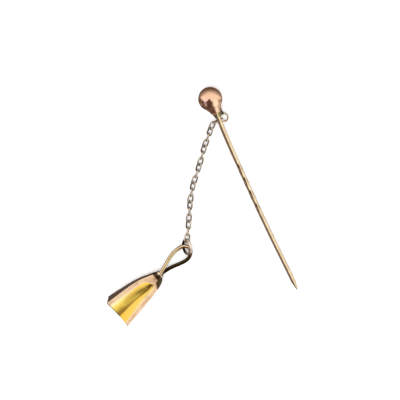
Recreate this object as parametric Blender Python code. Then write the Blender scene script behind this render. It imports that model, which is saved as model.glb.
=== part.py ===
# Gold tie pin: ball head on a twisted square shank, fine chain, and a fluted drop.
# It lies on a table as it does in use: +Z is up, +X and +Y lie in the table.

import math

import bmesh
import bpy
from mathutils import Matrix, Vector

MM = 0.001

# Pin: the ball, its neck and its shoulder, measured from the ball's centre along the shank
BALL_DIAMETER = 6.5 * MM
BALL_SIDES = 24
BALL_STEPS = 11
PIN_REACH = 58.9 * MM
NECK_ROOT_RADIUS = 2.3 * MM
NECK_RIM_RADIUS = 1.45 * MM
NECK_RIM_REACH = 3.85 * MM
NECK_STEPS = 4
NECK_FLARE = 0.3
RIM_WIDTH = 0.2 * MM
SHOULDER_ROOT_HALF_DIAGONAL = 1.19 * MM
SHOULDER_HALF_DIAGONAL = 1.32 * MM
SHOULDER_REACH = 5.9 * MM

# Shank: square wire laid with an arris up, a little finer towards its point
SHANK_SIDE = 0.96 * MM
SHANK_POINT_SIDE = 0.84 * MM
TWIST_START = 18.5 * MM
TWIST_LENGTH = 16.0 * MM
TWIST_TURNS = 1.0
TWIST_STEPS = 24
POINT_LENGTH = 2.6 * MM
POINT_WIDTH = 0.24 * MM
PIN_HEADING = math.radians(-66.5)

# The shank is a little bowed: how far its middle line lies left of a straight one, as a share of
# the bow, at shares of the pin's reach
BOW = 0.51 * MM
SHANK_BOW = [
    {"reach": 0.00, "left": 0.00},
    {"reach": 0.07, "left": 0.00},
    {"reach": 0.15, "left": 0.55},
    {"reach": 0.27, "left": 0.87},
    {"reach": 0.48, "left": 1.00},
    {"reach": 0.63, "left": 0.92},
    {"reach": 0.74, "left": 0.72},
    {"reach": 0.83, "left": 0.42},
    {"reach": 0.93, "left": 0.10},
    {"reach": 1.00, "left": -0.06},
]
BOW_STEPS = 360
STRAIGHT_STEPS = 3

# Ring soldered beside the neck, flat under the shank's edge, on a short peg
PIN_RING_DIAMETER = 2.66 * MM
PIN_RING_WIRE = 0.5 * MM
PIN_RING_REACH = 6.6 * MM
PIN_RING_ASIDE = 0.98 * MM
PIN_RING_HEIGHT = 1.1 * MM
PEG_DIAMETER = 0.56 * MM
PEG_ROOT_REACH = 3.8 * MM
PEG_ROOT_ASIDE = 1.15 * MM
PEG_ROOT_DROP = 0.6 * MM
RING_SIDES = 16

# Chain: oval links, each rolled a sixth of a turn from the one before it
LINK_LENGTH = 2.75 * MM
LINK_WIDTH = 1.8 * MM
LINK_WIRE = 0.42 * MM
LINK_PLAY = 0.08 * MM
END_LINK_WIDTH = 1.5 * MM
END_LINK_WIRE = 0.36 * MM
LINK_COUNT = 19
LINK_ROLL_FIRST = math.radians(-30)
LINK_ROLL_STEP = math.radians(60)
LINK_END_STEPS = 5
END_LINK_ROLL = math.radians(83)
ROUTE_STEPS = 4000

# The chain's route over the table, chosen by hand, from the pin's neck to the drop
CHAIN_ROUTE = [
    (0.31 * MM, -7.99 * MM, 1.62 * MM),
    (-0.92 * MM, -11.57 * MM, 1.34 * MM),
    (-2.06 * MM, -15.02 * MM, 1.05 * MM),
    (-2.99 * MM, -18.68 * MM, 0.91 * MM),
    (-4.05 * MM, -22.19 * MM, 0.905 * MM),
    (-5.09 * MM, -25.73 * MM, 0.905 * MM),
    (-5.63 * MM, -29.02 * MM, 0.905 * MM),
    (-5.96 * MM, -32.57 * MM, 0.91 * MM),
    (-6.20 * MM, -36.14 * MM, 1.02 * MM),
    (-6.48 * MM, -39.90 * MM, 1.70 * MM),
    (-6.75 * MM, -43.60 * MM, 2.50 * MM),
]

# Jump ring between the chain and the bail: it leans, its right side up
JUMP_DIAMETER = 4.6 * MM
JUMP_WIRE = 0.70 * MM
JUMP_LEAN = math.radians(52)
JUMP_PLAY = 0.10 * MM

# Drop: a four-sided body of thin sheet, its front and back scooped in to a crease, its sides flat
DROP_HEADING = math.radians(42.4)
BODY_LENGTH = 15.32 * MM
MOUTH_SIDE = 8.5 * MM
SHEET = 0.36 * MM
FLUTE_LENGTH = 12.3 * MM
FLUTE_DEPTH = 1.0 * MM
FLUTE_END_DEPTH = 0.34 * MM
FLUTE_ARCH = 2.2 * MM
FLUTE_END_SHARE = 0.64
BAND = 1.05 * MM
FRONT_CREASE_ASIDE = 0.78 * MM
# How much further aside the front crease runs at the arch, and how late it starts to
FRONT_CREASE_SWAY = 0.6
SWAY_POWER = 4
# How much of a flute's depth is a straight fold; the rest is a round scoop
FLUTE_FOLD = 0.4
CORNER_ROUNDING = 1.5
MITRE_FLOOR = 0.5
OUTLINE_STEPS = 240
BODY_STEPS = 15
FLUTE_STEPS = 5
TURNED_SIDES = 24
COLLAR_DIAMETER = 2.3 * MM
COLLAR_HEIGHT = 0.36 * MM

# The body at shares of its length: its half width and half depth as shares of half the mouth, and
# its lean to the right as a share of the greatest
BODY_LEAN = 0.25 * MM
BODY_OUTLINE = [
    {"along": 0.00, "half_width": 1.000, "half_depth": 1.000, "lean": 0.5},
    {"along": 0.25, "half_width": 0.890, "half_depth": 0.775, "lean": 0.2},
    {"along": 0.50, "half_width": 0.775, "half_depth": 0.540, "lean": 0.1},
    {"along": 0.72, "half_width": 0.645, "half_depth": 0.390, "lean": 0.6},
    {"along": 0.86, "half_width": 0.525, "half_depth": 0.310, "lean": 1.0},
    {"along": 0.95, "half_width": 0.390, "half_depth": 0.270, "lean": 0.6},
    {"along": 1.00, "half_width": 0.255, "half_depth": 0.255, "lean": 0.0},
]

# Bail: one wire, crossed over itself at the collar
BAIL_LENGTH = 10.6 * MM
BAIL_HALF_WIDTH = 2.0 * MM
BAIL_WIRE = 1.02 * MM
BAIL_PLAY = 0.06 * MM
BAIL_STEPS = 44
# Where the bail's tip lies from the jump ring's centre
BAIL_HOOK = (0.70 * MM, -0.60 * MM)

# The bail's middle line as shares of its length, its half width and its lift at the collar
BAIL_LINE = [
    {"reach": -0.02, "aside": -0.06, "lift": 1.00},
    {"reach": 0.17, "aside": -0.36, "lift": 0.95},
    {"reach": 0.46, "aside": -0.86, "lift": 0.55},
    {"reach": 0.64, "aside": -1.02, "lift": 0.30},
    {"reach": 0.79, "aside": -0.98, "lift": 0.10},
    {"reach": 0.92, "aside": -0.78, "lift": 0.00},
    {"reach": 1.00, "aside": -0.20, "lift": 0.00},
    {"reach": 0.97, "aside": 0.33, "lift": 0.00},
    {"reach": 0.92, "aside": 0.60, "lift": 0.00},
    {"reach": 0.83, "aside": 0.87, "lift": 0.00},
    {"reach": 0.70, "aside": 0.90, "lift": -0.20},
    {"reach": 0.54, "aside": 0.70, "lift": -0.45},
    {"reach": 0.35, "aside": 0.39, "lift": -0.80},
    {"reach": 0.16, "aside": 0.18, "lift": -1.00},
    {"reach": -0.02, "aside": 0.06, "lift": -1.00},
]

UP = Vector((0, 0, 1))


def clear_scene():
    for old in list(bpy.data.objects):
        bpy.data.objects.remove(old, do_unlink=True)


def metal(name, color, roughness):
    material = bpy.data.materials.new(name)
    material.use_nodes = True
    shader = material.node_tree.nodes["Principled BSDF"]
    shader.inputs["Base Color"].default_value = (*color, 1)
    shader.inputs["Metallic"].default_value = 1.0
    shader.inputs["Roughness"].default_value = roughness
    return material


def add_object(name, data, place, material=None):
    thing = bpy.data.objects.new(name, data)
    thing.matrix_world = place
    bpy.context.scene.collection.objects.link(thing)
    if material:
        data.materials.clear()
        data.materials.append(material)
    return thing


def frame_of(place, forward, side_up):
    """A turned frame at a place: local Z runs forward and local X as near side_up as it can."""
    z_axis = forward.normalized()
    x_axis = (side_up - side_up.dot(z_axis) * z_axis).normalized()
    y_axis = z_axis.cross(x_axis)
    turn = Matrix((x_axis, y_axis, z_axis)).transposed().to_4x4()
    return Matrix.Translation(place) @ turn


def smooth_line(points, steps):
    """Evenly numbered points on a smooth curve through the given ones."""
    ends = [2 * points[0] - points[1]] + points + [2 * points[-1] - points[-2]]
    spans = len(points) - 1
    line = []
    for step in range(steps + 1):
        where = min(step * spans / steps, spans - 1e-9)
        k = int(where)
        u = where - k
        before, start, end, after = ends[k], ends[k + 1], ends[k + 2], ends[k + 3]
        line.append(0.5 * (2 * start + (end - before) * u
                           + (2 * before - 5 * start + 4 * end - after) * u ** 2
                           + (3 * start - before - 3 * end + after) * u ** 3))
    return line


def read_line(line, where):
    """The rest of a line's values at a place along its first one."""
    for before, after in zip(line, line[1:]):
        if after[0] >= where:
            share = (where - before[0]) / (after[0] - before[0])
            return before.lerp(after, share)[1:]
    return line[-1][1:]


def loft(rings):
    """A closed body skinned over rings of equal count, with a flat cap at each end."""
    bm = bmesh.new()
    loops = [[bm.verts.new(point) for point in ring] for ring in rings]
    count = len(loops[0])
    for low, high in zip(loops, loops[1:]):
        for k in range(count):
            bm.faces.new((low[k], low[(k + 1) % count], high[(k + 1) % count], high[k]))
    bm.faces.new(loops[0])
    bm.faces.new(loops[-1])
    bmesh.ops.recalc_face_normals(bm, faces=bm.faces)
    mesh = bpy.data.meshes.new("loft")
    bm.to_mesh(mesh)
    bm.free()
    return mesh


def wire_curve(points, diameter, side_steps, closed):
    """Round wire along points. It has 2 * side_steps + 4 sides, and its ends are filled."""
    curve = bpy.data.curves.new("wire", "CURVE")
    curve.dimensions = "3D"
    curve.bevel_depth = diameter / 2
    curve.bevel_resolution = side_steps
    curve.use_fill_caps = True
    spline = curve.splines.new("POLY")
    spline.points.add(len(points) - 1)
    for target, point in zip(spline.points, points):
        target.co = (*point, 1)
    spline.use_cyclic_u = closed
    return curve


def fuse(name, bodies, material):
    """Solder bodies: one mesh object that is the union of them all."""
    base = bodies[0]
    for other in bodies[1:]:
        union = base.modifiers.new("solder", "BOOLEAN")
        union.operation = "UNION"
        union.solver = "EXACT"
        union.object = other
    bpy.context.view_layer.update()
    ready = base.evaluated_get(bpy.context.evaluated_depsgraph_get())
    mesh = bpy.data.meshes.new_from_object(ready)
    place = base.matrix_world.copy()
    for body in bodies:
        bpy.data.objects.remove(body, do_unlink=True)
    return add_object(name, mesh, place, material)


def as_mesh(name, curve, place):
    """A curve's wire as a mesh object."""
    guide = add_object(name + "_line", curve, place)
    bpy.context.view_layer.update()
    ready = guide.evaluated_get(bpy.context.evaluated_depsgraph_get())
    mesh = bpy.data.meshes.new_from_object(ready)
    bpy.data.objects.remove(guide, do_unlink=True)
    return add_object(name, mesh, place)


def circle_points(radius, count):
    return [Vector((radius * math.cos(2 * math.pi * k / count),
                    radius * math.sin(2 * math.pi * k / count), 0)) for k in range(count)]


# Pin

def shank_half_diagonal(reach):
    """From the shoulder to the point the square gets a little smaller."""
    share = (reach - SHOULDER_REACH) / (PIN_REACH - POINT_LENGTH - SHOULDER_REACH)
    return (SHANK_SIDE + (SHANK_POINT_SIDE - SHANK_SIDE) * share) / math.sqrt(2)


def pin_frame():
    """Origin in the ball's centre, Z along the shank, X up: the shank's edge rests at the point."""
    ball_radius = BALL_DIAMETER / 2
    rest_reach = PIN_REACH - POINT_LENGTH
    dip = math.asin((ball_radius - shank_half_diagonal(rest_reach)) / rest_reach)
    along = Vector((math.cos(PIN_HEADING) * math.cos(dip),
                    math.sin(PIN_HEADING) * math.cos(dip), -math.sin(dip)))
    return frame_of(Vector((0, 0, ball_radius)), along, UP)


def head_rings():
    """The ball and its flared neck as turned rings, from the crown to the rim."""
    ball_radius = BALL_DIAMETER / 2
    root_angle = math.pi - math.asin(NECK_ROOT_RADIUS / ball_radius)
    root_reach = -ball_radius * math.cos(root_angle)
    profile = []
    for k in range(BALL_STEPS):
        angle = root_angle * (k + 0.5) / (BALL_STEPS - 0.5)
        profile.append((-ball_radius * math.cos(angle), ball_radius * math.sin(angle)))
    for k in range(1, NECK_STEPS + 1):
        share = k / NECK_STEPS
        reach = root_reach + (NECK_RIM_REACH - root_reach) * share
        fall = share * (1 + NECK_FLARE * (1 - share))
        profile.append((reach, NECK_ROOT_RADIUS + (NECK_RIM_RADIUS - NECK_ROOT_RADIUS) * fall))
    profile.append((NECK_RIM_REACH + RIM_WIDTH, NECK_RIM_RADIUS))
    return [[point + Vector((0, 0, reach)) for point in circle_points(radius, BALL_SIDES)]
            for reach, radius in profile]


def shank_rings():
    """Square sections from inside the neck to the point, with the twist in the middle."""
    sections = [(NECK_RIM_REACH - RIM_WIDTH, SHOULDER_ROOT_HALF_DIAGONAL, 0.0),
                (NECK_RIM_REACH + RIM_WIDTH, SHOULDER_HALF_DIAGONAL, 0.0)]
    for k in range(STRAIGHT_STEPS):
        reach = SHOULDER_REACH + (TWIST_START - SHOULDER_REACH) * k / STRAIGHT_STEPS
        sections.append((reach, shank_half_diagonal(reach), 0.0))
    for k in range(TWIST_STEPS + 1):
        share = k / TWIST_STEPS
        reach = TWIST_START + TWIST_LENGTH * share
        sections.append((reach, shank_half_diagonal(reach), 2 * math.pi * TWIST_TURNS * share))
    last_turn = 2 * math.pi * TWIST_TURNS
    twist_end = TWIST_START + TWIST_LENGTH
    for k in range(1, STRAIGHT_STEPS + 1):
        reach = twist_end + (PIN_REACH - POINT_LENGTH - twist_end) * k / STRAIGHT_STEPS
        sections.append((reach, shank_half_diagonal(reach), last_turn))
    sections.append((PIN_REACH, POINT_WIDTH / 2, last_turn))
    rows = [Vector((row["reach"] * PIN_REACH, row["left"] * BOW)) for row in SHANK_BOW]
    bow = smooth_line(rows, BOW_STEPS)
    rings = []
    for reach, size, turn in sections:
        left = read_line(bow, reach)[0]
        ring = []
        for k in range(4):
            angle = turn + k * math.pi / 2
            ring.append(Vector((size * math.cos(angle), left + size * math.sin(angle), reach)))
        rings.append(ring)
    return rings


def pin_ring_centre(place):
    """The soldered ring lies level beside the neck, to the right of the shank."""
    along = place.to_3x3() @ Vector((0, 0, 1))
    aside = UP.cross(along).normalized()
    foot = place.translation + along * PIN_RING_REACH + aside * PIN_RING_ASIDE
    return Vector((foot.x, foot.y, PIN_RING_HEIGHT))


def make_pin(material):
    place = pin_frame()
    head = add_object("head", loft(head_rings()), place)
    shank = add_object("shank", loft(shank_rings()), place)
    centre = pin_ring_centre(place)
    ring_line = circle_points((PIN_RING_DIAMETER - PIN_RING_WIRE) / 2, RING_SIDES)
    ring = as_mesh("ring", wire_curve(ring_line, PIN_RING_WIRE, 2, True),
                   Matrix.Translation(centre))
    along = place.to_3x3() @ Vector((0, 0, 1))
    aside = UP.cross(along).normalized()
    root = place.translation + along * PEG_ROOT_REACH + aside * PEG_ROOT_ASIDE - UP * PEG_ROOT_DROP
    towards = Vector((root.x - centre.x, root.y - centre.y, 0)).normalized()
    seat = centre + towards * (PIN_RING_DIAMETER - PIN_RING_WIRE) / 2
    peg = as_mesh("peg", wire_curve([root, seat], PEG_DIAMETER, 3, False), Matrix())
    return fuse("pin", [head, shank, peg, ring], material)


# Chain

def link_points(length, width, wire):
    """Middle line of an oval link in its own plane, long along Z."""
    end_radius = (width - wire) / 2
    straight = (length - width) / 2
    points = []
    for end in (1, -1):
        for k in range(LINK_END_STEPS + 1):
            angle = math.pi * k / LINK_END_STEPS
            points.append(Vector((end * end_radius * math.cos(angle), 0,
                                  end * (straight + end_radius * math.sin(angle)))))
    return points


def link_centres():
    """Centres one pitch apart along the smooth route, starting at its first point."""
    pitch = LINK_LENGTH - 2 * LINK_WIRE - LINK_PLAY
    fine = smooth_line([Vector(point) for point in CHAIN_ROUTE], ROUTE_STEPS)
    centres = [fine[0]]
    for before, point in zip(fine, fine[1:]):
        if (point - centres[-1]).length >= pitch and len(centres) < LINK_COUNT:
            centres.append(point)
    return centres


def link_roll_axis(tangent, roll):
    """The direction of a link's width, rolled about the chain from lying flat."""
    level = tangent.cross(UP).normalized()
    return Matrix.Rotation(roll, 3, tangent) @ level


def make_chain(material):
    centres = link_centres()
    line = link_points(LINK_LENGTH, LINK_WIDTH, LINK_WIRE)
    links = []
    for k, centre in enumerate(centres):
        before = centres[max(k - 1, 0)]
        after = centres[min(k + 1, len(centres) - 1)]
        tangent = (after - before).normalized()
        width = link_roll_axis(tangent, LINK_ROLL_FIRST + k * LINK_ROLL_STEP)
        curve = wire_curve(line, LINK_WIRE, 1, True)
        place = frame_of(centre, tangent, width)
        links.append(add_object("link_%02d" % (k + 1), curve, place, material))
    return links, centres


def make_end_link(material, first_centre, second_centre):
    """The longer first link, from the pin's ring to the first link that shows."""
    ring_centre = pin_ring_centre(pin_frame())
    out = first_centre - ring_centre
    out.z = 0
    ring_radius = (PIN_RING_DIAMETER - PIN_RING_WIRE) / 2
    wire_place = ring_centre + out.normalized() * ring_radius
    first_tangent = (second_centre - first_centre).normalized()
    first_end = first_centre - first_tangent * (LINK_LENGTH - LINK_WIRE) / 2
    ring_side = (PIN_RING_WIRE + END_LINK_WIRE + LINK_PLAY) / 2
    chain_side = (LINK_WIRE + END_LINK_WIRE + LINK_PLAY) / 2
    end = first_end + first_tangent * chain_side
    forward = (end - wire_place).normalized()
    start = wire_place - forward * ring_side
    length = (end - start).length + END_LINK_WIRE
    line = link_points(length, END_LINK_WIDTH, END_LINK_WIRE)
    width = link_roll_axis(forward, END_LINK_ROLL)
    place = frame_of((start + end) / 2, forward, width)
    return add_object("link_end", wire_curve(line, END_LINK_WIRE, 1, True), place, material)


# Jump ring

def jump_frame(last_centre, last_tangent):
    """The leaning ring hangs in the last link's far end; its left edge rests on the table."""
    radius = (JUMP_DIAMETER - JUMP_WIRE) / 2
    seat = last_centre + last_tangent * (LINK_LENGTH / 2 - LINK_WIRE - JUMP_WIRE / 2 - JUMP_PLAY)
    rise = Vector((math.cos(JUMP_LEAN), 0, math.sin(JUMP_LEAN)))
    height = radius * math.sin(JUMP_LEAN) + JUMP_WIRE / 2
    centre = Vector((seat.x, seat.y - radius, height))
    normal = rise.cross(Vector((0, 1, 0)))
    return frame_of(centre, normal, rise)


def make_jump_ring(material, place):
    line = circle_points((JUMP_DIAMETER - JUMP_WIRE) / 2, TURNED_SIDES)
    return add_object("jump_ring", wire_curve(line, JUMP_WIRE, 2, True), place, material)


# Drop

def body_outline(along):
    """Half the body's width, half its depth and its lean, on a smooth line through the outline."""
    half = MOUTH_SIDE / 2
    rows = [Vector((row["along"], row["half_width"] * half, row["half_depth"] * half,
                    row["lean"] * BODY_LEAN)) for row in BODY_OUTLINE]
    return read_line(smooth_line(rows, OUTLINE_STEPS), along)


def flute(reach, half_width):
    """The fold in a face at a distance from the mouth: its half width, open share and depth."""
    arch_start = FLUTE_LENGTH - FLUTE_ARCH
    share = min(reach / arch_start, 1)
    mouth_share = 1 - BAND / (MOUTH_SIDE / 2)
    full = half_width * (mouth_share + (FLUTE_END_SHARE - mouth_share) * share)
    depth = FLUTE_DEPTH + (FLUTE_END_DEPTH - FLUTE_DEPTH) * share
    past = max(0.0, min((reach - arch_start) / FLUTE_ARCH, 1))
    round_off = math.sqrt(1 - past ** 2)
    return full, round_off, depth * round_off


def face_line(half_width, full, open_share, depth, crease):
    """Points across one face from its left corner to just before its right one: (aside, in)."""
    points = [(-half_width, 0.0)]
    for k in range(-FLUTE_STEPS, FLUTE_STEPS + 1):
        share = k / FLUTE_STEPS
        across = full - crease if k > 0 else full + crease
        closeness = 1 - abs(share) / open_share if abs(share) < open_share else 0.0
        scoop = FLUTE_FOLD * closeness + (1 - FLUTE_FOLD) * (1 - (1 - closeness) ** 2)
        points.append((crease + across * share, depth * scoop))
    return points


def body_section(reach):
    """The four faces as one ring: Z along the axis, X out of the front face, Y aside."""
    along = reach / BODY_LENGTH
    half_width, half_depth, lean = body_outline(along)
    full, open_share, depth = flute(reach, half_width)
    arch_start = (FLUTE_LENGTH - FLUTE_ARCH) / BODY_LENGTH
    roundness = max(0.0, (along - arch_start) / (1 - arch_start)) ** CORNER_ROUNDING
    sway = 1 + FRONT_CREASE_SWAY * min(along / arch_start, 1) ** SWAY_POWER
    ring = []
    for face in range(4):
        crease = FRONT_CREASE_ASIDE * sway * full / (MOUTH_SIDE / 2 - BAND) if face == 0 else 0.0
        turn = Matrix.Rotation(face * math.pi / 2, 3, "Z")
        fluted = face % 2 == 0
        out, half = (half_depth, half_width) if fluted else (half_width, half_depth)
        face_full = full if fluted else full * half_depth / half_width
        face_depth = depth if fluted else 0.0
        for aside, inward in face_line(half, face_full, open_share, face_depth, crease):
            point = Vector((out - inward, aside, 0))
            oval = point / math.hypot(point.x / out, point.y / half)
            point = point.lerp(oval, roundness)
            ring.append(turn @ point + Vector((0, lean, reach)))
    return ring


def inset_ring(ring, thickness):
    """The ring moved inwards by a wall, mitred at its corners."""
    count = len(ring)
    inner = []
    for k in range(count):
        before = ring[k] - ring[k - 1]
        after = ring[(k + 1) % count] - ring[k]
        in_before = Vector((-before.y, before.x, 0)).normalized()
        in_after = Vector((-after.y, after.x, 0)).normalized()
        middle = (in_before + in_after).normalized()
        inner.append(ring[k] + middle * thickness / max(middle.dot(in_before), MITRE_FLOOR))
    return inner


def body_mesh():
    """The sheet body: outer skin, inner skin and the edge between them at the open mouth."""
    reaches = [BODY_LENGTH * k / BODY_STEPS for k in range(BODY_STEPS + 1)]
    outer = [body_section(reach) for reach in reaches]
    inner = [inset_ring(ring, SHEET) for ring in outer[:-1]]
    bm = bmesh.new()
    outer_loops = [[bm.verts.new(point) for point in ring] for ring in outer]
    inner_loops = [[bm.verts.new(point) for point in ring] for ring in inner]
    loops = outer_loops[::-1] + inner_loops
    count = len(outer[0])
    for low, high in zip(loops, loops[1:]):
        for k in range(count):
            bm.faces.new((low[k], low[(k + 1) % count], high[(k + 1) % count], high[k]))
    bm.faces.new(loops[0])
    bm.faces.new(loops[-1])
    bmesh.ops.recalc_face_normals(bm, faces=bm.faces)
    mesh = bpy.data.meshes.new("body")
    bm.to_mesh(mesh)
    bm.free()
    return mesh


def bail_line():
    """Middle line of the bail's wire in the drop's frame, measured from the collar's top."""
    lift = (BAIL_WIRE + BAIL_PLAY) / 2
    top = BODY_LENGTH + COLLAR_HEIGHT
    rows = [Vector((row["lift"] * lift, row["aside"] * BAIL_HALF_WIDTH,
                    top + row["reach"] * BAIL_LENGTH)) for row in BAIL_LINE]
    return smooth_line(rows, BAIL_STEPS)


def drop_frame(jump_place):
    """The drop lies on its mouth's back corners, with the bail's end over the jump ring's wire."""
    tip_height = JUMP_WIRE + BAIL_PLAY + BAIL_WIRE / 2
    reach = BODY_LENGTH + COLLAR_HEIGHT + BAIL_LENGTH
    half = MOUTH_SIDE / 2
    slant = math.hypot(reach, half)
    dip = math.atan2(half, reach) - math.asin(tip_height / slant)
    heading = Vector((math.cos(DROP_HEADING), math.sin(DROP_HEADING), 0))
    along = heading * math.cos(dip) - UP * math.sin(dip)
    hook = jump_place.translation + Vector((*BAIL_HOOK, 0))
    mouth = Vector((hook.x, hook.y, tip_height)) - along * reach
    return frame_of(mouth, along, UP)


def make_drop(material, jump_place):
    place = drop_frame(jump_place)
    body = add_object("body", body_mesh(), place)
    low = BODY_LENGTH - COLLAR_HEIGHT / 2
    circle = circle_points(COLLAR_DIAMETER / 2, TURNED_SIDES)
    rings = [[point + Vector((0, 0, reach)) for point in circle]
             for reach in (low, BODY_LENGTH + COLLAR_HEIGHT)]
    collar = add_object("collar", loft(rings), place)
    bail = as_mesh("bail", wire_curve(bail_line(), BAIL_WIRE, 3, False), place)
    return fuse("drop", [body, collar, bail], material)


def centre_on_origin(things):
    """Hang everything on one empty, moved so that the box's bottom centre is the origin."""
    bpy.context.view_layer.update()
    graph = bpy.context.evaluated_depsgraph_get()
    low = Vector((1, 1, 1))
    high = Vector((-1, -1, -1))
    for thing in things:
        ready = thing.evaluated_get(graph)
        mesh = ready.to_mesh()
        for vertex in mesh.vertices:
            point = ready.matrix_world @ vertex.co
            low = Vector(map(min, low, point))
            high = Vector(map(max, high, point))
        ready.to_mesh_clear()
    layout = add_object("layout", None, Matrix())
    for thing in things:
        thing.parent = layout
    layout.location = (-(low.x + high.x) / 2, -(low.y + high.y) / 2, -low.z)


def build():
    clear_scene()
    rose_gold = metal("rose_gold", (0.86, 0.55, 0.38), 0.16)
    yellow_gold = metal("yellow_gold", (0.90, 0.68, 0.33), 0.2)
    chain_gold = metal("chain_gold", (0.78, 0.68, 0.52), 0.25)
    pin = make_pin(rose_gold)
    links, centres = make_chain(chain_gold)
    end_link = make_end_link(chain_gold, centres[0], centres[1])
    last_tangent = (centres[-1] - centres[-2]).normalized()
    jump_place = jump_frame(centres[-1], last_tangent)
    jump_ring = make_jump_ring(rose_gold, jump_place)
    drop = make_drop(yellow_gold, jump_place)
    for solid in (pin, drop):
        solid.data.shade_smooth()
        solid.data.set_sharp_from_angle(angle=math.radians(35))
    centre_on_origin([pin, end_link, *links, jump_ring, drop])


build()
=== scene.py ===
import math

import bpy
from mathutils import Matrix, Vector


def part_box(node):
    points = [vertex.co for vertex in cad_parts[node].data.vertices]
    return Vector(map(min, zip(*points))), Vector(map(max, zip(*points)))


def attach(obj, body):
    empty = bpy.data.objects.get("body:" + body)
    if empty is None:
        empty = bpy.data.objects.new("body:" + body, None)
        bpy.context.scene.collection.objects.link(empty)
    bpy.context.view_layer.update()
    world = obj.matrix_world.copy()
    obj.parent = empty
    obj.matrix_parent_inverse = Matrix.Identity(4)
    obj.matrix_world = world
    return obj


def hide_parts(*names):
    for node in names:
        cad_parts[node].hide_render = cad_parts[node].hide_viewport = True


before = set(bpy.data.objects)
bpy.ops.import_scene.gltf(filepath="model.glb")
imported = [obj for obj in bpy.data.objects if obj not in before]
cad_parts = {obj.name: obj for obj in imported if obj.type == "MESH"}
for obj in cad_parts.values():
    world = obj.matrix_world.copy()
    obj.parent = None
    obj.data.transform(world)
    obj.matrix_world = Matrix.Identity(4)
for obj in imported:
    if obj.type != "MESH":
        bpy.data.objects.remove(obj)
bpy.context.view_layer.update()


# Ball head: a hollow ball pressed from rose gold sheet, its neck drawn down to a narrow rim that the
# shank is soldered into. The gold is polished and a little worn, and the rim is turned to a low bead.
MM = 0.001
UP = Vector((0, 0, 1))
BALL_RADIUS = 3.25 * MM
NECK_ROOT_RADIUS = 2.3 * MM
NECK_RIM_RADIUS = 1.45 * MM
NECK_RIM_REACH = 3.85 * MM
NECK_STEPS = 8
NECK_FLARE = 0.3
RIM_WIDTH = 0.2 * MM
RIM_BEAD = 0.06 * MM
RIM_WALL = 0.16 * MM
RIM_RECESS = 0.12 * MM
POINT_HALF_DIAGONAL = 0.84 * MM / math.sqrt(2)
PIN_REACH = 58.9 * MM
POINT_LENGTH = 2.6 * MM
PIN_HEADING = math.radians(-66.5)
ROSE_GOLD = (0.93, 0.60, 0.40)
ROSE_WORN = (0.89, 0.55, 0.37)
# Where in their noise the worn patches and the hair scratches begin and are full, and how deep the
# scratches are
WORN_PATCHES = (0.38, 0.68)
HAIR_SCRATCHES = (0.35, 0.65)
SCRATCH_DEPTH = 0.0025 * MM


def pick(piece):
    """Selects one piece alone and makes it the active one."""
    bpy.ops.object.select_all(action="DESELECT")
    piece.select_set(True)
    bpy.context.view_layer.objects.active = piece


def named(name):
    """The primitive just added, under the piece's own name."""
    piece = bpy.context.object
    piece.name = name
    piece.data.name = name
    return piece


def draw_out(rise, factor, height):
    """Extrudes the selected ring along Z, then opens or closes it about the axis."""
    bpy.ops.mesh.extrude_region_move(TRANSFORM_OT_translate={"value": (0, 0, rise)})
    bpy.ops.transform.resize(value=(factor, factor, 1), center_override=(0, 0, height))


def put(piece, place):
    """Moves a piece to its place and keeps that place in its mesh."""
    pick(piece)
    piece.matrix_world = place
    bpy.ops.object.transform_apply(location=True, rotation=True, scale=True)


def frame_of(place, forward, side_up):
    """A turned frame at a place: local Z runs forward and local X as near side_up as it can."""
    z_axis = forward.normalized()
    x_axis = (side_up - side_up.dot(z_axis) * z_axis).normalized()
    turn = Matrix((x_axis, z_axis.cross(x_axis), z_axis)).transposed().to_4x4()
    return Matrix.Translation(place) @ turn


def finish_piece(piece, node, material, smooth_degrees):
    """Faces out, smooth faces, its gold, and its place in the frame."""
    pick(piece)
    bpy.ops.object.mode_set(mode="EDIT")
    bpy.ops.mesh.select_all(action="SELECT")
    bpy.ops.mesh.normals_make_consistent(inside=False)
    bpy.ops.object.mode_set(mode="OBJECT")
    bpy.ops.object.shade_smooth_by_angle(angle=math.radians(smooth_degrees))
    piece.data.materials.clear()
    piece.data.materials.append(material)
    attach(piece, "root")
    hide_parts(node)


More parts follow.
